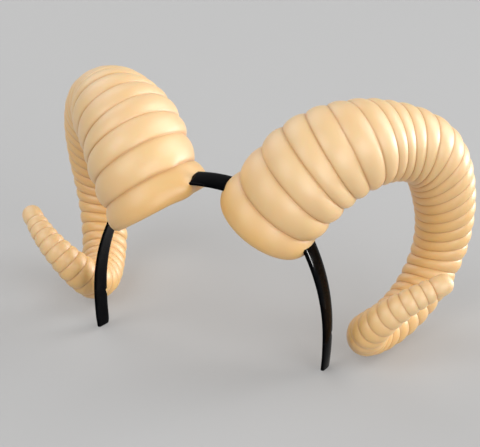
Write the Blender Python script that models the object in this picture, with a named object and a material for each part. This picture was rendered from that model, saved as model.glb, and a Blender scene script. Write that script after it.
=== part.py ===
# Ram horn headband: a narrow bent plastic strip that carries two mirrored, ribbed, curled horns.
# +Z is up, +X is the wearer's left as seen from the front, and the front faces -Y.
# The headband stands on its two tips and on the lowest bends of the horns, which all touch Z = 0.

from math import cos, exp, pi, radians, sin, tan

import bmesh
import bpy
import numpy as np
from mathutils import Matrix, Vector

mm = 0.001

# The strip lies this far in front of the middle of the whole object, because the horns curl rearwards
strip_forward = 34.55 * mm

# Headband strip
strip_crown_width = 18.0 * mm
strip_tip_width = 12.6 * mm
strip_thickness = 1.2 * mm
strip_chamfer = 0.3 * mm
crown_height = 101.6 * mm
# Half of the hoop from the middle of the crown down to a tip: radius and sweep of each arc in turn
hoop_arcs = ((89.0, 18.5), (49.0, 45.5), (113.0, 25.5), (244.0, 5.52))
hoop_arc_steps = (5, 9, 6, 3)
tip_front_corner = 1.0 * mm
tip_rear_corner = 4.0 * mm
tip_slant = 2.5 * mm             # the tips are cut at a slant, with the front corner higher
notch_height = 21.0 * mm
notch_depth = 1.2 * mm
notch_half_length = 1.6 * mm

# Horn axis from its flat base to its tip: X, Y behind the strip, Z, and the radius over the ribs, in mm
horn_stations = (
    (29, 3, 79, 27.5),
    (42, 8, 98, 28.5),
    (55, 20, 112, 28.5),
    (70, 34, 119, 25.8),
    (84, 53, 117, 22.3),
    (100, 69, 107, 20.0),
    (109, 79, 79, 17.6),
    (106.6, 80, 41.6, 15.1),
    (92.2, 49.5, 13.5, 13.0),
    (86, 21, 18, 11.3),
    (105, 11.6, 40.6, 7.8),
    (124, 23.5, 51.5, 5.9),
)
base_oval = 0.19                 # how much wider the base is front to back
base_oval_fade = 80.0 * mm       # along the axis
horn_sides = 20

# Ribs, which are longest at the base and shortest at the tip: distance along the axis and rib length, in mm
first_rib = 14.8 * mm
rib_lengths = (
    (0, 17.8),
    (15, 14.8),
    (30, 12.5),
    (53, 10.1),
    (81, 8.3),
    (110, 7.3),
    (140, 7.0),
    (165, 7.8),
    (200, 8.2),
    (235, 7.6),
    (265, 6.2),
    (300, 5.3),
)
rib_bulge = 0.13                 # groove depth as a share of the rib's length
wide_rib = 8.0 * mm              # a rib longer than this gets two rings over its crest
# The ribs cross the axis at a slant: distance in mm, slant sideways and slant front to back in degrees
rib_slants = (
    (0, 0, 0),
    (15, 4, 2),
    (30, 6, 13),
    (50, 0, 16),
    (75, -8, 18),
    (110, -10, 17),
    (150, -8, 14),
    (200, -4, 12),
    (250, 0, 0),
)
rim_length = 6.5 * mm            # the rim of the base is rounded over this length
rim_pull = 3.5 * mm
base_swell = 0.8 * mm            # how much fuller the lowest rib is

fit_gap = 0.35 * mm              # between the strip and the slit in each horn's base

smooth_angle = radians(22)
horn_colour = (0.83, 0.58, 0.30, 1.0)
strip_colour = (0.006, 0.006, 0.008, 1.0)


def clear_scene():
    for old in list(bpy.data.objects):
        bpy.data.objects.remove(old, do_unlink=True)


def make_material(name, colour, roughness):
    material = bpy.data.materials.new(name)
    material.use_nodes = True
    shader = material.node_tree.nodes["Principled BSDF"]
    shader.inputs["Base Color"].default_value = colour
    shader.inputs["Roughness"].default_value = roughness
    shader.inputs["Metallic"].default_value = 0.0
    return material


def make_base_point():
    """An empty on the floor below the strip; every piece is measured from it."""
    base_point = bpy.data.objects.new("strip_base_point", None)
    base_point.location = (0.0, -strip_forward, 0.0)
    bpy.context.collection.objects.link(base_point)
    return base_point


def mesh_object(name, bm, material, parent):
    bmesh.ops.recalc_face_normals(bm, faces=bm.faces)
    mesh = bpy.data.meshes.new(name)
    bm.to_mesh(mesh)
    bm.free()
    mesh.materials.append(material)
    mesh.shade_smooth()
    mesh.set_sharp_from_angle(angle=smooth_angle)
    obj = bpy.data.objects.new(name, mesh)
    obj.parent = parent
    bpy.context.collection.objects.link(obj)
    return obj


def skin_rings(bm, rings):
    """Join rings of equal length into one closed tube with flat ends."""
    rows = [[bm.verts.new(point) for point in ring] for ring in rings]
    sides = len(rows[0])
    for low, high in zip(rows, rows[1:]):
        for i in range(sides):
            j = (i + 1) % sides
            bm.faces.new((low[i], low[j], high[j], high[i]))
    bm.faces.new(rows[0])
    bm.faces.new(rows[-1])


def hoop_line():
    """Points and headings of the strip's middle line in the XZ plane, from the -X tip over to the +X tip."""
    x, z, heading = 0.0, crown_height, 0.0
    half = []
    for (radius, sweep), steps in zip(hoop_arcs, hoop_arc_steps):
        turn = radians(sweep) / steps
        chord = 2 * radius * mm * sin(turn / 2)
        for _ in range(steps):
            x += chord * cos(heading + turn / 2)
            z -= chord * sin(heading + turn / 2)
            heading += turn
            half.append((x, z, heading))
    other_half = [(-px, pz, -angle) for px, pz, angle in reversed(half)]
    return other_half + half


def corner_pull(from_tip, corner):
    """How far a rounded corner draws the edge in, at this distance from the tip."""
    if from_tip >= corner:
        return 0.0
    return corner - (corner ** 2 - (corner - from_tip) ** 2) ** 0.5


def strip_rings(grow, chamfer, with_tips):
    """Chamfered rectangles along the strip; the tips have round corners and a notch in the rear edge."""
    line = hoop_line()
    lengths = [0.0]
    for a, b in zip(line, line[1:]):
        lengths.append(lengths[-1] + ((a[0] - b[0]) ** 2 + (a[1] - b[1]) ** 2) ** 0.5)
    total = lengths[-1]

    extra = []
    if with_tips:
        extra = [tip_rear_corner * (1 - cos(radians(angle))) for angle in (0, 18, 36, 60, 90)]
        extra += [notch_height + shift for shift in (-notch_half_length, 0, notch_half_length)]
        extra += [total - distance for distance in extra]
    stops = [stop for stop in lengths if all(abs(stop - other) > 0.5 * mm for other in extra)]
    stops = sorted(stops + extra)

    rings = []
    for stop in stops:
        x, z, heading = [np.interp(stop, lengths, [p[k] for p in line]) for k in range(3)]
        from_tip = max(0.0, min(stop, total - stop))
        taper = 2 * from_tip / total
        width = strip_tip_width + (strip_crown_width - strip_tip_width) * taper + 2 * grow
        front, rear = -width / 2, width / 2
        if with_tips:
            front += corner_pull(from_tip, tip_front_corner)
            rear -= corner_pull(from_tip, tip_rear_corner)
            if abs(from_tip - notch_height) < 0.5 * notch_half_length:
                rear -= notch_depth
        slant = max(0.0, 1 - from_tip / (8 * mm)) * tip_slant / width if with_tips else 0.0
        out_x, out_z = sin(heading), cos(heading)
        h, c = strip_thickness / 2 + grow, chamfer
        corners = (
            (front + c, h), (rear - c, h), (rear, h - c), (rear, c - h),
            (rear - c, -h), (front + c, -h), (front, c - h), (front, h - c),
        )
        rings.append([(x + out_x * off, y, z + out_z * off + slant * (rear - y)) for y, off in corners])
    return rings


def make_headband(material, parent):
    bm = bmesh.new()
    skin_rings(bm, strip_rings(0.0, strip_chamfer, with_tips=True))
    return mesh_object("headband", bm, material, parent)


def make_slit_cutter(material, parent):
    """The strip again, grown by the fit gap all round; it cuts the slit in each horn's base."""
    bm = bmesh.new()
    skin_rings(bm, strip_rings(fit_gap, fit_gap, with_tips=False))
    cutter = mesh_object("slit_cutter", bm, material, parent)
    cutter.hide_render = True
    cutter.display_type = "WIRE"
    return cutter


def natural_spline(knots, values, places):
    """Smooth curve through the values at the knots, read at each place: position and slope."""
    count = len(knots)
    gaps = np.diff(knots)
    slopes = np.diff(values, axis=0) / gaps[:, None]
    system = np.eye(count)
    jumps = np.zeros_like(values)
    for i in range(1, count - 1):
        system[i, i - 1:i + 2] = gaps[i - 1], 2 * (gaps[i - 1] + gaps[i]), gaps[i]
        jumps[i] = 6 * (slopes[i] - slopes[i - 1])
    bends = np.linalg.solve(system, jumps)
    i = np.clip(np.searchsorted(knots, places, side="right") - 1, 0, count - 2)
    gap = gaps[i][:, None]
    b = (places[:, None] - knots[i][:, None]) / gap
    a = 1 - b
    position = a * values[i] + b * values[i + 1]
    position += ((a ** 3 - a) * bends[i] + (b ** 3 - b) * bends[i + 1]) * gap ** 2 / 6
    slope = slopes[i] + ((3 * b ** 2 - 1) * bends[i + 1] - (3 * a ** 2 - 1) * bends[i]) * gap / 6
    return position, slope


class HornAxis:
    """The horn's axis, read by distance from the base: centre, direction, radius and cross directions."""

    def __init__(self, fine_steps=600):
        stations = np.array(horn_stations, dtype=float) * mm
        hops = np.linalg.norm(np.diff(stations[:, :3], axis=0), axis=1)
        knots = np.concatenate([[0.0], np.cumsum(hops)])
        position, slope = natural_spline(knots, stations, np.linspace(0, knots[-1], fine_steps))
        self.centre = position[:, :3]
        self.radius = position[:, 3]
        self.ahead = slope[:, :3] / np.linalg.norm(slope[:, :3], axis=1)[:, None]
        steps = np.linalg.norm(np.diff(self.centre, axis=0), axis=1)
        self.distance = np.concatenate([[0.0], np.cumsum(steps)])
        self.length = self.distance[-1]
        self.wide = np.zeros_like(self.centre)
        wide = np.array((0.0, 1.0, 0.0))
        for k, ahead in enumerate(self.ahead):
            wide = wide - ahead * (wide @ ahead)
            wide = wide / np.linalg.norm(wide)
            self.wide[k] = wide

    def read(self, table, distance):
        return np.array([np.interp(distance, self.distance, column) for column in table.T])

    def ring(self, distance, grow):
        """Points of one oval ring, which slants with the ribs; grow is added to the radius."""
        centre = self.read(self.centre, distance)
        ahead = self.read(self.ahead, distance)
        wide = self.read(self.wide, distance)
        wide /= np.linalg.norm(wide)
        across = np.cross(ahead, wide)
        places, sideways, backward = zip(*rib_slants)
        across = across + ahead * tan(radians(np.interp(distance / mm, places, sideways)))
        wide = wide + ahead * tan(radians(np.interp(distance / mm, places, backward)))
        radius = np.interp(distance, self.distance, self.radius) + grow
        oval = 1 + base_oval * exp(-distance / base_oval_fade)
        points = []
        for k in range(horn_sides):
            angle = 2 * pi * k / horn_sides
            points.append(centre + across * radius * cos(angle) + wide * radius * oval * sin(angle))
        return points


def rib_grooves(length, tip_radius):
    """Distances of the grooves between ribs along the horn's axis."""
    grooves = [first_rib]
    while True:
        pitch = np.interp(grooves[-1] / mm, *zip(*rib_lengths)) * mm
        if grooves[-1] + pitch > length - 0.3 * tip_radius:
            return grooves
        grooves.append(grooves[-1] + pitch)


def horn_rings(axis):
    """Rings from the flat base over every rib to the rounded tip, and the tip's last point."""
    tip_radius = axis.radius[-1]
    grooves = rib_grooves(axis.length, tip_radius)
    rings = [
        axis.ring(0.0, base_swell - rim_pull),
        axis.ring(0.3 * rim_length, base_swell - 0.3 * rim_pull),
        axis.ring(rim_length, base_swell),
        axis.ring(0.72 * first_rib, 0.3 * base_swell),
    ]
    for start, end in zip(grooves, grooves[1:] + [axis.length]):
        rings.append(axis.ring(start, -rib_bulge * (end - start)))
        if end - start > wide_rib:
            rings.append(axis.ring(start + 0.28 * (end - start), 0.0))
            rings.append(axis.ring(start + 0.72 * (end - start), 0.0))
        else:
            rings.append(axis.ring(start + 0.5 * (end - start), 0.0))
    tip, ahead = axis.centre[-1], axis.ahead[-1]
    for angle in (0, 35, 65):
        cap = axis.ring(axis.length, tip_radius * (cos(radians(angle)) - 1))
        rings.append([point + ahead * tip_radius * sin(radians(angle)) for point in cap])
    return rings, tip + ahead * tip_radius


def make_horn(name, side, material, parent, cutter):
    """side is 1 for the horn at +X and -1 for its mirror image."""
    rings, tip = horn_rings(HornAxis())
    bm = bmesh.new()
    skin_rings(bm, rings)
    bm.faces.ensure_lookup_table()
    pointed = bmesh.ops.poke(bm, faces=[bm.faces[-1]])
    pointed["verts"][0].co = tip
    bmesh.ops.transform(bm, matrix=Matrix.Scale(side, 4, Vector((1, 0, 0))), verts=bm.verts)
    horn = mesh_object(name, bm, material, parent)
    slit = horn.modifiers.new("slit", "BOOLEAN")
    slit.operation = "DIFFERENCE"
    slit.solver = "EXACT"
    slit.object = cutter
    return horn


def main():
    clear_scene()
    horn_material = make_material("horn_latex", horn_colour, 0.45)
    strip_material = make_material("strip_plastic", strip_colour, 0.18)
    base_point = make_base_point()
    cutter = make_slit_cutter(strip_material, base_point)
    make_headband(strip_material, base_point)
    make_horn("left_horn", 1, horn_material, base_point, cutter)
    make_horn("right_horn", -1, horn_material, base_point, cutter)


main()
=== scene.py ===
# Ram horn headband: a glossy black strip with two soft, ribbed, curled latex horns
from math import atan, cos, exp, radians, sin, tan

import bpy
import numpy as np
from mathutils import Matrix, Vector


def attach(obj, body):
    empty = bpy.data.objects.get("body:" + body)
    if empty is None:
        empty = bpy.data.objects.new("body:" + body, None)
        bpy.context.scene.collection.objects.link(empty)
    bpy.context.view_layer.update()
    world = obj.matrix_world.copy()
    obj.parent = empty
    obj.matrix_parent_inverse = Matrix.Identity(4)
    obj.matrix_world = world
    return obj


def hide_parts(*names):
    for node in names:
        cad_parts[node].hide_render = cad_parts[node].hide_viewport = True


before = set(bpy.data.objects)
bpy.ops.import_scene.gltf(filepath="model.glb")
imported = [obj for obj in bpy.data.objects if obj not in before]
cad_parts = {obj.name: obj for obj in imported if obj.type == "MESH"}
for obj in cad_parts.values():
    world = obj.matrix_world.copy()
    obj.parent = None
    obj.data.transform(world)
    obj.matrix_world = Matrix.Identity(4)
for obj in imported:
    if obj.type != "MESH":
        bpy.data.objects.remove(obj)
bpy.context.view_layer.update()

mm = 0.001
stripForward = 34.55 * mm    # the strip stands this far in front of the middle of the object
print("frame loaded", sorted(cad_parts))


# Camera

cameraPlace = {
    "lookAt": Vector((4.8, -2.9, 63.9)) * mm,
    "azimuth": 21.86,            # degrees round from the front, towards the wearer's left
    "elevation": 23.95,
    "distance": 788 * mm,
    "lens": 105.5,
    "sensor": 36,
    "clipStart": 50 * mm,
}


def direction(azimuth, elevation):
    a, e = radians(azimuth), radians(elevation)
    return Vector((sin(a) * cos(e), -cos(a) * cos(e), sin(e)))


def lookBack(towards):
    # the turn of a camera or light that stands out in this direction and faces the object
    return towards.to_track_quat("Z", "Y").to_euler()


def placeCamera(place):
    towards = direction(place["azimuth"], place["elevation"])
    spot = place["lookAt"] + towards * place["distance"]
    bpy.ops.object.camera_add(location=spot, rotation=lookBack(towards))
    camera = bpy.context.object
    camera.name = "photoCamera"
    camera.data.lens = place["lens"]
    camera.data.sensor_width = place["sensor"]
    camera.data.clip_start = place["clipStart"]
    bpy.context.scene.camera = camera


placeCamera(cameraPlace)
print("camera placed")


# Shader groups and the parts of a material that more than one material uses

def setInputs(node, values):
    for label, value in values.items():
        node.inputs[label].default_value = value
    return node


def newGroup(name, inputs, outputs):
    group = bpy.data.node_groups.new(name, "ShaderNodeTree")
    for label, value in inputs:
        socket = group.interface.new_socket(name=label, in_out="INPUT", socket_type="NodeSocketFloat")
        socket.default_value = value
    for label, kind in outputs:
        group.interface.new_socket(name=label, in_out="OUTPUT", socket_type=kind)
    return group, group.nodes.new("NodeGroupInput"), group.nodes.new("NodeGroupOutput")


def makeMottle():
    # soft cloudy mask between low and high
    group, given, result = newGroup(
        "softMottle",
        [("Scale", 40.0), ("Low", 0.4), ("High", 0.6)],
        [("Mask", "NodeSocketFloat")],
    )
    link = group.links.new
    place = group.nodes.new("ShaderNodeTexCoord")
    clouds = setInputs(group.nodes.new("ShaderNodeTexNoise"), {"Detail": 3, "Roughness": 0.55})
    spread = group.nodes.new("ShaderNodeMapRange")
    link(place.outputs["Object"], clouds.inputs["Vector"])
    link(given.outputs["Scale"], clouds.inputs["Scale"])
    link(clouds.outputs["Fac"], spread.inputs["Value"])
    link(given.outputs["Low"], spread.inputs["From Min"])
    link(given.outputs["High"], spread.inputs["From Max"])
    link(spread.outputs["Result"], result.inputs["Mask"])
    return group


def makeGrain():
    # a fine skin over slow ripples, as a height
    group, given, result = newGroup(
        "fineGrain",
        [("Grain Scale", 900.0), ("Ripple Scale", 90.0), ("Ripple Share", 0.6)],
        [("Height", "NodeSocketFloat")],
    )
    link = group.links.new
    place = group.nodes.new("ShaderNodeTexCoord")
    grain = setInputs(group.nodes.new("ShaderNodeTexNoise"), {"Detail": 2})
    ripple = setInputs(group.nodes.new("ShaderNodeTexNoise"), {"Detail": 1})
    blend = group.nodes.new("ShaderNodeMix")
    link(place.outputs["Object"], grain.inputs["Vector"])
    link(place.outputs["Object"], ripple.inputs["Vector"])
    link(given.outputs["Grain Scale"], grain.inputs["Scale"])
    link(given.outputs["Ripple Scale"], ripple.inputs["Scale"])
    link(given.outputs["Ripple Share"], blend.inputs["Factor"])
    link(grain.outputs["Fac"], blend.inputs["A"])
    link(ripple.outputs["Fac"], blend.inputs["B"])
    link(blend.outputs["Result"], result.inputs["Height"])
    return group


softMottle = makeMottle()
fineGrain = makeGrain()


def startMaterial(name):
    material = bpy.data.materials.new(name)
    material.use_nodes = True
    return material, material.node_tree.nodes, material.node_tree.links.new


def placeGroup(nodes, group, values):
    node = nodes.new("ShaderNodeGroup")
    node.node_tree = group
    return setInputs(node, values)


def colourMix(nodes, colours):
    node = nodes.new("ShaderNodeMix")
    node.data_type = "RGBA"
    return setInputs(node, colours)


def readAttribute(nodes, name):
    node = nodes.new("ShaderNodeAttribute")
    node.attribute_name = name
    return node.outputs["Fac"]


def addRoughness(nodes, link, shader, mask, look):
    rough = setInputs(nodes.new("ShaderNodeMapRange"), look["roughness"])
    link(mask, rough.inputs["Value"])
    link(rough.outputs["Result"], shader.inputs["Roughness"])


def addGrain(nodes, link, shader, look):
    grain = placeGroup(nodes, fineGrain, look["grain"])
    bump = setInputs(nodes.new("ShaderNodeBump"), look["bump"])
    link(grain.outputs["Height"], bump.inputs["Height"])
    link(bump.outputs["Normal"], shader.inputs["Normal"])


# Latex of the horns

latexLook = {
    "crest": (0.785, 0.535, 0.255, 1),
    "paintedShadeColour": (0.745, 0.43, 0.11, 1),       # painted shade: a deeper orange on the rim of the base, the rear and the lowest bend, where they lie in shade
    # painted shade: a darker orange in the grooves, where shade falls between the ribs
    "groove": (0.57, 0.285, 0.085, 1),
    "blush": (0.775, 0.485, 0.225, 1),    # slightly pinker patches
    "blushAmount": 0.45,
    "patches": {"Scale": 28.0, "Low": 0.42, "High": 0.66},
    "wear": {"Scale": 75.0, "Low": 0.3, "High": 0.7},
    "roughness": {"To Min": 0.43, "To Max": 0.55},
    "grain": {"Grain Scale": 1400.0, "Ripple Scale": 120.0, "Ripple Share": 0.7},
    "bump": {"Strength": 0.10, "Distance": 0.25 * mm},
    "shader": {
        "Subsurface Weight": 0.35,
        "Subsurface Radius": (1.0, 0.45, 0.2),
        "Subsurface Scale": 4 * mm,
        "Specular IOR Level": 1.0,
        "Coat Weight": 0.8,               # a satin film over the latex
        "Coat Roughness": 0.52,
    },
}


def makeLatex(look):
    material, nodes, link = startMaterial("creamLatex")
    shader = setInputs(nodes["Principled BSDF"], look["shader"])
    paintedShadeMix = colourMix(nodes, {"A": look["crest"], "B": look["paintedShadeColour"]})
    grooveShadeMix = colourMix(nodes, {"A": look["groove"]})
    # painted shade: a deeper orange is mixed in along the horn where it lies in shade
    link(readAttribute(nodes, "paintedShade"), paintedShadeMix.inputs["Factor"])
    # painted shade: the grooves are darkened towards the groove colour by the rib height
    link(readAttribute(nodes, "ribHeight"), grooveShadeMix.inputs["Factor"])
    link(paintedShadeMix.outputs["Result"], grooveShadeMix.inputs["B"])
    patches = placeGroup(nodes, softMottle, look["patches"])
    patchShare = nodes.new("ShaderNodeMath")
    patchShare.operation = "MULTIPLY"
    patchShare.inputs[1].default_value = look["blushAmount"]
    patchColour = colourMix(nodes, {"B": look["blush"]})
    link(patches.outputs["Mask"], patchShare.inputs[0])
    link(patchShare.outputs["Value"], patchColour.inputs["Factor"])
    link(grooveShadeMix.outputs["Result"], patchColour.inputs["A"])
    link(patchColour.outputs["Result"], shader.inputs["Base Color"])
    wear = placeGroup(nodes, softMottle, look["wear"])
    addRoughness(nodes, link, shader, wear.outputs["Mask"], look)
    addGrain(nodes, link, shader, look)
    return material


# Plastic of the strip

plasticLook = {
    "black": (0.0010, 0.0011, 0.0016, 1),
    "scuffed": (0.0030, 0.0032, 0.0040, 1),
    "scuffs": {"Scale": 160.0, "Low": 0.5, "High": 0.75},
    "roughness": {"To Min": 0.09, "To Max": 0.14},
    "grain": {"Grain Scale": 1800.0, "Ripple Scale": 60.0, "Ripple Share": 0.8},
    "bump": {"Strength": 0.06, "Distance": 0.1 * mm},
    "shader": {"Specular IOR Level": 0.010},
}


def makePlastic(look):
    material, nodes, link = startMaterial("blackPlastic")
    shader = setInputs(nodes["Principled BSDF"], look["shader"])
    scuffs = placeGroup(nodes, softMottle, look["scuffs"])
    colour = colourMix(nodes, {"A": look["black"], "B": look["scuffed"]})
    link(scuffs.outputs["Mask"], colour.inputs["Factor"])
    link(colour.outputs["Result"], shader.inputs["Base Color"])
    addRoughness(nodes, link, shader, scuffs.outputs["Mask"], look)
    addGrain(nodes, link, shader, look)
    return material


creamLatex = makeLatex(latexLook)
blackPlastic = makePlastic(plasticLook)
print("materials made")


# Loops that are grown from frame to frame: a frame has a centre, a turn (its columns are the loop's
# two cross directions and the way ahead) and the loop's half sizes along the cross directions

straightAngle = 1e-5         # radians: a loop that turns less than this isn't turned
pickSlack = 0.1 * mm         # how far off its place a picked point may be
edgeShare = 0.9              # points beyond this share of a loop's half width are on the edge


def pick(piece):
    bpy.ops.object.select_all(action="DESELECT")
    piece.select_set(True)
    bpy.context.view_layer.objects.active = piece


def turnSelected(angle, axis, centre):
    side = axis.orthogonal().normalized()
    hinge = Matrix((side, axis.cross(side), axis)).transposed()
    bpy.ops.transform.rotate(
        value=angle, orient_axis="Z", orient_type="GLOBAL", orient_matrix=hinge,
        orient_matrix_type="GLOBAL", constraint_axis=(False, False, True), center_override=centre,
    )


def growLoop(before, after, extrude):
    extrude(TRANSFORM_OT_translate={"value": after["centre"] - before["centre"]})
    axis, angle = (after["turn"] @ before["turn"].transposed()).to_quaternion().to_axis_angle()
    if angle > straightAngle:
        turnSelected(angle, axis, after["centre"])
    scale = [new / old for new, old in zip(after["size"], before["size"])]
    bpy.ops.transform.resize(
        value=(scale[0], scale[1], 1), orient_type="GLOBAL", orient_matrix=after["turn"],
        orient_matrix_type="GLOBAL", center_override=after["centre"],
    )


def settle(piece, name, first):
    # the fresh primitive, which has half sizes of 1, is sized to the first frame, and all of it is selected
    piece.name = name
    piece.data.name = name
    piece.scale = (first["size"][0], first["size"][1], 1)
    bpy.ops.object.transform_apply(location=True, rotation=True, scale=True)
    bpy.ops.object.mode_set(mode="EDIT")
    bpy.ops.mesh.select_all(action="SELECT")


def faceOutward():
    bpy.ops.mesh.select_all(action="SELECT")
    bpy.ops.mesh.normals_make_consistent(inside=False)


def applyModifier(piece, name, kind, **values):
    modifier = piece.modifiers.new(name, kind)
    for label, value in values.items():
        setattr(modifier, label, value)
    bpy.ops.object.modifier_apply(modifier=modifier.name)


def selectVerts(piece, wanted):
    bpy.ops.object.mode_set(mode="OBJECT")
    mesh = piece.data
    mesh.polygons.foreach_set("select", [False] * len(mesh.polygons))
    mesh.edges.foreach_set("select", [False] * len(mesh.edges))
    mesh.vertices.foreach_set("select", [bool(wanted(vert.co)) for vert in mesh.vertices])
    bpy.ops.object.mode_set(mode="EDIT")
    bpy.ops.mesh.select_mode(type="VERT")


# Headband strip

strip = {
    "crownWidth": 18.0 * mm,
    "tipWidth": 12.6 * mm,
    "thickness": 1.2 * mm,
    "columns": 6,                # faces across the strip
    # how far the outer face rises at each lengthwise line, from an edge to the middle
    "dome": (0.0, 0.30 * mm, 0.44 * mm, 0.49 * mm),
    "crownHeight": 101.6 * mm,
    # radius in mm and sweep in degrees of each arc, from the crown to a tip
    "arcs": ((89.0, 18.5), (49.0, 45.5), (113.0, 25.5), (244.0, 5.52)),
    "arcSteps": (10, 20, 14, 8),
    "plainTip": 6 * mm,          # nearer to a tip than this the strip has no loops
    "tipSlant": 2.5 * mm,        # the tips are cut at a slant, with the front corner higher
    # rounding of a tip's corners and how many faces it has
    "frontCorner": (1.2 * mm, 4),
    "rearCorner": (4.0 * mm, 7),
    "doubled": 0.05 * mm,        # points nearer together than this are merged
    "edgeRound": 0.3 * mm,
    "edgeSteps": 3,
    "edgeAngle": 35,             # degrees, from which an edge is rounded
    "smoothAngle": 40,
    # the notch, measured along the strip from a tip
    "notchHeight": 21.5 * mm,
    "notchDepth": 1.5 * mm,
    "notchLength": 3.6 * mm,
    "notchStep": 0.25 * mm,
    "notchClear": 1.2 * mm,      # the hoop's other loops keep this far from those of the notch
}


def hoopLine(shape):
    x, z, heading = 0.0, shape["crownHeight"], 0.0
    half = []
    for (radius, sweep), steps in zip(shape["arcs"], shape["arcSteps"]):
        turn = radians(sweep) / steps
        chord = 2 * radius * mm * sin(turn / 2)
        for _ in range(steps):
            x += chord * cos(heading + turn / 2)
            z -= chord * sin(heading + turn / 2)
            heading += turn
            half.append((x, z, heading))
    return [(-x, z, -heading) for x, z, heading in reversed(half)] + [(0.0, shape["crownHeight"], 0.0)] + half


def stripFrames(shape):
    line = hoopLine(shape)
    gone = [0.0]
    for (xa, za, _), (xb, zb, _) in zip(line, line[1:]):
        gone.append(gone[-1] + ((xa - xb) ** 2 + (za - zb) ** 2) ** 0.5)
    total = gone[-1]
    notch = [shape["notchHeight"] + shift for shift in (-shape["notchLength"], 0.0, shape["notchStep"])]
    notch += [total - place for place in notch]
    clear = [place for place in gone if all(abs(place - other) > shape["notchClear"] for other in notch)]
    middle = [place for place in clear if shape["plainTip"] < place < total - shape["plainTip"]]
    frames = []
    for place in sorted([0.0, total] + middle + notch):
        x, z, heading = [float(np.interp(place, gone, column)) for column in zip(*line)]
        share = 2 * min(place, total - place) / total
        width = shape["tipWidth"] + (shape["crownWidth"] - shape["tipWidth"]) * share
        frames.append({
            "centre": Vector((x, -stripForward, z)),
            "turn": Matrix(((0, sin(heading), cos(heading)), (1, 0, 0), (0, cos(heading), -sin(heading)))),
            "size": (width / 2, shape["thickness"] / 2),
            "fromTip": min(place, total - place),
        })
    return frames


def inLoop(co, loop, shape, slack=pickSlack):
    # a loop's plane can meet the other leg too, so the point also has to be near the loop's centre
    offset = co - loop["centre"]
    return abs(offset @ loop["turn"].col[2]) < slack and offset.length < shape["tipWidth"]


def onEdge(co, loop, side):
    # side is 1 for the strip's rear edge and -1 for its front edge
    return (co.y - loop["centre"].y) * side > edgeShare * loop["size"][0]


def domeOuterFace(piece, shape, tip):
    outward = tip["turn"].col[1]
    for step, rise in enumerate(shape["dome"]):
        across = (1 - 2 * step / shape["columns"]) * tip["size"][0]
        selectVerts(piece, lambda co: (
            (co - tip["centre"]) @ outward > 0 and abs(abs(co.y - tip["centre"].y) - across) < pickSlack))
        bpy.ops.transform.translate(value=outward * rise)
    bpy.ops.mesh.select_all(action="SELECT")


def cutNotches(piece, shape, frames):
    # a small barb in the rear edge of each leg: a step at its top that runs out towards the tip
    for deep in frames:
        if abs(deep["fromTip"] - shape["notchHeight"]) < pickSlack:
            selectVerts(piece, lambda co: inLoop(co, deep, shape) and onEdge(co, deep, 1))
            bpy.ops.transform.translate(value=(0, -shape["notchDepth"], 0))


def slantTips(piece, shape, frames):
    slant = atan(shape["tipSlant"] / shape["tipWidth"])
    for tip in (frames[0], frames[-1]):
        rearCorner = tip["centre"] + Vector((0, tip["size"][0], 0))
        selectVerts(piece, lambda co: inLoop(co, tip, shape))
        turnSelected(slant, Vector((-1, 0, 0)), rearCorner)


def roundTipCorners(piece, shape, frames):
    slack = shape["plainTip"] / 2    # the slant has moved the front corner
    for tip in (frames[0], frames[-1]):
        for side, (corner, steps) in ((1, shape["rearCorner"]), (-1, shape["frontCorner"])):
            selectVerts(piece, lambda co: inLoop(co, tip, shape, slack) and onEdge(co, tip, side))
            bpy.ops.mesh.bevel(offset=corner, offset_type="OFFSET", segments=steps, affect="EDGES")
    # the rear arc ends on a lengthwise line and leaves doubled points there
    bpy.ops.mesh.select_all(action="SELECT")
    bpy.ops.mesh.remove_doubles(threshold=shape["doubled"])


def makeStrip(shape):
    frames = stripFrames(shape)
    bpy.ops.object.select_all(action="DESELECT")
    bpy.ops.mesh.primitive_grid_add(x_subdivisions=shape["columns"], y_subdivisions=1, size=2,
                                    location=frames[0]["centre"], rotation=frames[0]["turn"].to_euler())
    piece = bpy.context.object
    settle(piece, "headbandStrip", frames[0])
    domeOuterFace(piece, shape, frames[0])
    for before, after in zip(frames, frames[1:]):
        growLoop(before, after, bpy.ops.mesh.extrude_region_move)
    cutNotches(piece, shape, frames)
    faceOutward()
    slantTips(piece, shape, frames)
    roundTipCorners(piece, shape, frames)
    bpy.ops.object.mode_set(mode="OBJECT")
    applyModifier(piece, "edges", "BEVEL", width=shape["edgeRound"], segments=shape["edgeSteps"],
                  limit_method="ANGLE", angle_limit=radians(shape["edgeAngle"]), harden_normals=False)
    bpy.ops.object.shade_smooth_by_angle(angle=radians(shape["smoothAngle"]))
    piece.data.materials.append(blackPlastic)
    return piece


headbandStrip = makeStrip(strip)
print("strip made", len(headbandStrip.data.polygons), "faces")


# Horns

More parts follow.
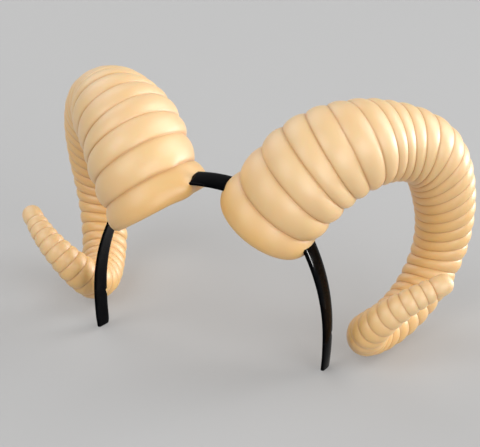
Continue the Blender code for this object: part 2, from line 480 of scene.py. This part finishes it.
horn = {
    # axis from the flat base to the tip: X, Y behind the strip, Z and the radius over the ribs, in mm
    "stations": (
        (29, 3, 79, 27.5), (42, 8, 98, 28.5), (55, 20, 112, 28.5), (70, 34, 119, 25.8),
        (84, 53, 117, 22.3), (100, 69, 107, 20.0), (109, 79, 79, 17.6), (106.6, 80, 41.6, 15.1),
        (92.2, 49.5, 13.5, 13.0), (86, 21, 18, 11.3), (105, 11.6, 40.6, 7.8), (124, 23.5, 51.5, 5.9),
    ),
    "axisSteps": 900,
    "sides": 44,
    "baseOval": 0.19,            # how much wider the base is front to back, as a share
    "ovalFade": 80 * mm,
    # the rim of the base is rounded over its length and drawn in by its pull, with loops at these angles
    "rimLength": 6.5 * mm,
    "rimPull": 3.5 * mm,
    "rimAngles": (0, 15, 30, 45, 60, 75, 90),
    "capAngles": (12, 26, 42, 58, 74, 86),    # loops of the round tip
    "baseInsets": (1.5 * mm, 8 * mm, 8 * mm),
    "baseSwell": 0.8 * mm,       # how much fuller the lowest rib is
    "firstRib": 14.8 * mm,
    # distance along the axis and length of the rib there, in mm
    "ribLengths": (
        (0, 17.8), (15, 14.8), (30, 12.5), (53, 10.1), (81, 8.3), (110, 7.3),
        (140, 7.0), (165, 7.8), (200, 8.2), (235, 7.6), (265, 6.2), (300, 5.3),
    ),
    "lastGroove": 0.3,           # the last groove is at least this far from the axis's end, in tip radii
    "lastRibEnd": 0.5,           # the last rib would end this far past the axis's end, in tip radii
    # shares of a rib's length where it has loops; wide ribs have more
    "wideRib": 9 * mm,
    "wideRibPlaces": (0.0, 0.018, 0.06, 0.14, 0.27, 0.42, 0.58, 0.73, 0.86, 0.94, 0.982),
    "narrowRibPlaces": (0.0, 0.03, 0.09, 0.22, 0.41, 0.59, 0.78, 0.91, 0.97),
    "lowestRibPlaces": (0.58, 0.72, 0.84, 0.93, 0.982),
    "bulge": 0.14,               # groove depth as a share of the rib's length
    "bulgePower": 2.1,
    "crease": 0.03,              # extra depth of the sharp line in the groove
    "creaseStart": 0.94,         # where the crease starts, from 0 at a crest to 1 in a groove
    # the grooves cross the axis at a slant: distance in mm, slant across and slant front to back in degrees
    "slants": (
        (0, 0, 0), (15, 4, 2), (30, 6, 13), (50, 0, 16), (75, -8, 18), (110, -10, 17),
        (150, -8, 14), (200, -4, 12), (250, 0, 0),
    ),
    # for the colour: how tightly the painted shade of the grooves keeps to them, and the height of the smooth
    # rim and tip
    "grooveShadePower": 12,
    "smoothHeight": 0.9,
    # distance along the axis in mm and share of the deeper orange of the painted shade there
    "paintedShade": (
        (0, 0.9), (7, 0.8), (16, 0.35), (40, 0.0), (105, 0.1), (150, 0.7),
        (225, 0.75), (255, 1.0), (275, 0.8), (292, 0.2), (310, 0.0),
    ),
    "lumps": 0.5 * mm,
    "lumpSize": 22 * mm,
}


def lookUp(table, distance, column=1):
    # a value from one of the tables above whose first column is the distance along the axis in mm
    columns = list(zip(*table))
    return float(np.interp(distance / mm, columns[0], columns[column]))


def naturalSpline(knots, values, places):
    count = len(knots)
    gaps = np.diff(knots)
    slopes = np.diff(values, axis=0) / gaps[:, None]
    system = np.eye(count)
    jumps = np.zeros_like(values)
    for i in range(1, count - 1):
        system[i, i - 1:i + 2] = gaps[i - 1], 2 * (gaps[i - 1] + gaps[i]), gaps[i]
        jumps[i] = 6 * (slopes[i] - slopes[i - 1])
    bends = np.linalg.solve(system, jumps)
    i = np.clip(np.searchsorted(knots, places, side="right") - 1, 0, count - 2)
    gap = gaps[i][:, None]
    b = (places[:, None] - knots[i][:, None]) / gap
    a = 1 - b
    position = a * values[i] + b * values[i + 1]
    position += ((a ** 3 - a) * bends[i] + (b ** 3 - b) * bends[i + 1]) * gap ** 2 / 6
    slope = slopes[i] + ((3 * b ** 2 - 1) * bends[i + 1] - (3 * a ** 2 - 1) * bends[i]) * gap / 6
    return position, slope


def readAxis(shape):
    # fine table of the axis: distance, centre, radius, the way ahead and the wide cross direction
    stations = np.array(shape["stations"], dtype=float) * mm
    stations[:, 1] -= stripForward
    knots = np.concatenate([[0.0], np.cumsum(np.linalg.norm(np.diff(stations[:, :3], axis=0), axis=1))])
    position, slope = naturalSpline(knots, stations, np.linspace(0, knots[-1], shape["axisSteps"]))
    centre, radius = position[:, :3], position[:, 3]
    ahead = slope[:, :3] / np.linalg.norm(slope[:, :3], axis=1)[:, None]
    distance = np.concatenate([[0.0], np.cumsum(np.linalg.norm(np.diff(centre, axis=0), axis=1))])
    wide = np.zeros_like(centre)
    side = np.array((0.0, 1.0, 0.0))
    for k, way in enumerate(ahead):
        side = side - way * (side @ way)
        side = side / np.linalg.norm(side)
        wide[k] = side
    return {"distance": distance, "centre": centre, "radius": radius, "ahead": ahead, "wide": wide}


def readAt(axis, label, distance):
    table = axis[label]
    if table.ndim == 1:
        return float(np.interp(distance, axis["distance"], table))
    return Vector([float(np.interp(distance, axis["distance"], column)) for column in table.T])


def hornFrame(axis, shape, distance, grow, height):
    ahead = readAt(axis, "ahead", distance).normalized()
    wide = readAt(axis, "wide", distance)
    wide = (wide - ahead * wide.dot(ahead)).normalized()
    radius = readAt(axis, "radius", distance) + grow
    oval = 1 + shape["baseOval"] * exp(-distance / shape["ovalFade"])
    slantAcross = radians(lookUp(shape["slants"], distance, 1))
    slantBack = radians(lookUp(shape["slants"], distance, 2))
    normal = (ahead + wide.cross(ahead) * tan(slantAcross) - wide * tan(slantBack)).normalized()
    wide = (wide + ahead * tan(slantBack)).normalized()
    return {
        "centre": readAt(axis, "centre", distance),
        "turn": Matrix((wide.cross(normal), wide, normal)).transposed(),
        "size": (radius / cos(slantAcross), radius * oval / cos(slantBack)),
        "ribHeight": height,
    }


def ribDepth(shape, length, share):
    fromCrest = abs(2 * share - 1)
    crease = max(0.0, fromCrest - shape["creaseStart"]) / (1 - shape["creaseStart"])
    return length * (shape["bulge"] * fromCrest ** shape["bulgePower"] + shape["crease"] * crease)


# mask of the painted groove shade: 1 on a crest, 0 in a groove
def ribHeight(shape, share):
    return 1 - abs(2 * share - 1) ** shape["grooveShadePower"]


def placeGrooves(shape, last):
    grooves = [shape["firstRib"]]
    while True:
        following = grooves[-1] + lookUp(shape["ribLengths"], grooves[-1]) * mm
        if following > last:
            return grooves
        grooves.append(following)


def hornFrames(shape):
    axis = readAxis(shape)
    length, tipRadius = axis["distance"][-1], axis["radius"][-1]
    firstRib, swell = shape["firstRib"], shape["baseSwell"]
    grooves = placeGrooves(shape, length - shape["lastGroove"] * tipRadius)
    frames = []
    for angle in shape["rimAngles"]:
        pull = shape["rimPull"] * (1 - sin(radians(angle)))
        place = shape["rimLength"] * (1 - cos(radians(angle)))
        frames.append(hornFrame(axis, shape, place, swell - pull, shape["smoothHeight"]))
    for share in shape["lowestRibPlaces"]:
        grow = swell * 2 * (1 - share) - ribDepth(shape, firstRib, share)
        frames.append(hornFrame(axis, shape, firstRib * share, grow, ribHeight(shape, share)))
    for start, end in zip(grooves, grooves[1:] + [length + shape["lastRibEnd"] * tipRadius]):
        places = shape["wideRibPlaces"] if end - start > shape["wideRib"] else shape["narrowRibPlaces"]
        for share in places:
            distance = start + share * (end - start)
            if distance > length:
                break
            depth = ribDepth(shape, end - start, share)
            frames.append(hornFrame(axis, shape, distance, -depth, ribHeight(shape, share)))
    for angle in shape["capAngles"]:
        shrink = tipRadius * (cos(radians(angle)) - 1)
        cap = hornFrame(axis, shape, length, shrink, shape["smoothHeight"])
        cap["centre"] = cap["centre"] + cap["turn"].col[2] * tipRadius * sin(radians(angle))
        frames.append(cap)
    return frames


def writeLoops(piece, shape, name, values):
    # one value for each loop, on all its points; the last loop has been merged into one point
    attribute = piece.data.attributes.new(name, "FLOAT", "POINT")
    onPoints = [value for value in values for _ in range(shape["sides"])]
    attribute.data.foreach_set("value", onPoints[:len(piece.data.vertices)])


def closeBase(piece, shape):
    # the open end is capped with a flat face and inset, so that the subdivision keeps it flat
    bpy.ops.object.mode_set(mode="EDIT")
    bpy.ops.mesh.select_mode(type="VERT")
    bpy.ops.mesh.select_all(action="DESELECT")
    bpy.ops.mesh.select_non_manifold(extend=False)
    bpy.ops.mesh.edge_face_add()
    for inset in shape["baseInsets"]:
        bpy.ops.mesh.inset(thickness=inset)
    bpy.ops.mesh.poke()
    faceOutward()
    bpy.ops.object.mode_set(mode="OBJECT")


def makeHorn(shape):
    frames = hornFrames(shape)
    bpy.ops.object.select_all(action="DESELECT")
    bpy.ops.mesh.primitive_circle_add(vertices=shape["sides"], radius=1, location=frames[0]["centre"],
                                      rotation=frames[0]["turn"].to_euler())
    piece = bpy.context.object
    settle(piece, "leftHorn", frames[0])
    gone = [0.0]
    for before, after in zip(frames, frames[1:]):
        growLoop(before, after, bpy.ops.mesh.extrude_edges_move)
        gone.append(gone[-1] + (after["centre"] - before["centre"]).length)
    bpy.ops.mesh.merge(type="CENTER")
    bpy.ops.object.mode_set(mode="OBJECT")
    # the rib height also carries the mask of the painted groove shade
    writeLoops(piece, shape, "ribHeight", [loop["ribHeight"] for loop in frames])
    # painted shade: the share of the deeper orange at each loop
    writeLoops(piece, shape, "paintedShade", [lookUp(shape["paintedShade"], place) for place in gone])
    closeBase(piece, shape)
    return piece


def mirrorHorn(piece, name):
    pick(piece)
    bpy.ops.object.duplicate()
    copy = bpy.context.object
    copy.name = name
    copy.data.name = name
    copy.scale = (-1, 1, 1)
    bpy.ops.object.transform_apply(location=True, rotation=True, scale=True)
    bpy.ops.object.mode_set(mode="EDIT")
    faceOutward()
    bpy.ops.object.mode_set(mode="OBJECT")
    return copy


def finishHorn(piece, shape):
    pick(piece)
    clouds = bpy.data.textures.new("lumps", "CLOUDS")
    clouds.noise_scale = shape["lumpSize"]
    applyModifier(piece, "lumps", "DISPLACE", texture=clouds, texture_coords="LOCAL",
                  strength=shape["lumps"], mid_level=0.5)
    applyModifier(piece, "smooth", "SUBSURF", levels=1, render_levels=1)
    bpy.ops.object.shade_smooth()
    piece.data.materials.append(creamLatex)


# The two horns aren't quite mirror images: the right one's rim reaches further along the strip's front edge,
# and the left one's lowest bend lies further forward
pulls = {
    "rightHorn": {
        "place": (-13 * mm, -45 * mm, 102 * mm),
        "move": (4.6 * mm, 0, 0),
        "reach": 13 * mm,
    },
    "leftHorn": {
        "place": (86 * mm, -21 * mm, 14 * mm),
        "move": (-0.5 * mm, -6.5 * mm, 0),
        "reach": 50 * mm,
    },
}
pullGrip = 0.5 * mm          # the pull holds the nearest point and those up to this much further off


def pullSpot(piece, pull):
    place = Vector(pull["place"])
    nearest = min((vert.co - place).length for vert in piece.data.vertices)
    pick(piece)
    selectVerts(piece, lambda co: (co - place).length < nearest + pullGrip)
    bpy.ops.transform.translate(value=pull["move"], use_proportional_edit=True,
                                proportional_edit_falloff="SMOOTH", proportional_size=pull["reach"])
    bpy.ops.object.mode_set(mode="OBJECT")


leftHorn = makeHorn(horn)
rightHorn = mirrorHorn(leftHorn, "rightHorn")
for piece in (leftHorn, rightHorn):
    finishHorn(piece, horn)
    pullSpot(piece, pulls[piece.name])
    print("horn made", piece.name, len(piece.data.polygons), "faces")


# Floor and light

studio = {
    "floorSize": 12,             # metres
    # the floor glows like a lit table top, which keeps the shadows faint
    "floorShader": {
        "Base Color": (0.30, 0.30, 0.30, 1),
        "Roughness": 0.9,
        "Specular IOR Level": 0.0,
        "Emission Color": (1, 1, 1, 1),
        "Emission Strength": 0.197,
    },
    "background": {"Color": (1, 1, 1, 1), "Strength": 0.4},
    # broad lights: azimuth and elevation in degrees, strength
    "broadLights": {
        "frontLight": (-20, 45, 1.11),
        "leftLight": (-120, 40, 0.66),
        "rearLight": (130, 30, 1.55),
        "rightLight": (60, 15, 1.50),
    },
    "broadSoftness": 45,         # degrees across each of them
    "broadDistance": 2,          # metres
    # a small light that glints on the strip, in degrees, metres and watts
    "glint": {
        "azimuth": 133.2,
        "elevation": 0.5,
        "distance": 1.0,
        "width": 0.06,
        "height": 0.11,
        "power": 4.0,
    },
}


def layFloor(setup):
    bpy.ops.object.select_all(action="DESELECT")
    bpy.ops.mesh.primitive_plane_add(size=setup["floorSize"], location=(0, 0, 0))
    floor = bpy.context.object
    floor.name = "studioFloor"
    material, nodes, _ = startMaterial("paleFloor")
    setInputs(nodes["Principled BSDF"], setup["floorShader"])
    floor.data.materials.append(material)


def addLight(name, kind, centre, towards, distance, energy):
    bpy.ops.object.light_add(type=kind, location=centre + towards * distance, rotation=lookBack(towards))
    light = bpy.context.object
    light.name = name
    light.data.energy = energy
    return light.data


def addLights(setup):
    origin = Vector((0, 0, 0))
    for name, (azimuth, elevation, strength) in setup["broadLights"].items():
        towards = direction(azimuth, elevation)
        broad = addLight(name, "SUN", origin, towards, setup["broadDistance"], strength)
        broad.angle = radians(setup["broadSoftness"])
    glint = setup["glint"]
    towards = direction(glint["azimuth"], glint["elevation"])
    small = addLight("glintLight", "AREA", cameraPlace["lookAt"], towards, glint["distance"], glint["power"])
    small.shape = "RECTANGLE"
    small.size = glint["width"]
    small.size_y = glint["height"]


def setWorld(setup):
    world = bpy.data.worlds.new("studioWorld")
    world.use_nodes = True
    setInputs(world.node_tree.nodes["Background"], setup["background"])
    bpy.context.scene.world = world
    bpy.context.scene.view_settings.view_transform = "Standard"


layFloor(studio)
addLights(studio)
setWorld(studio)
print("studio lit")


# Every piece rides on the one body and stands for its node

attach(headbandStrip, "root")
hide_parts("headband")
for piece, node in ((leftHorn, "left_horn"), (rightHorn, "right_horn")):
    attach(piece, "root")
    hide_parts(node)
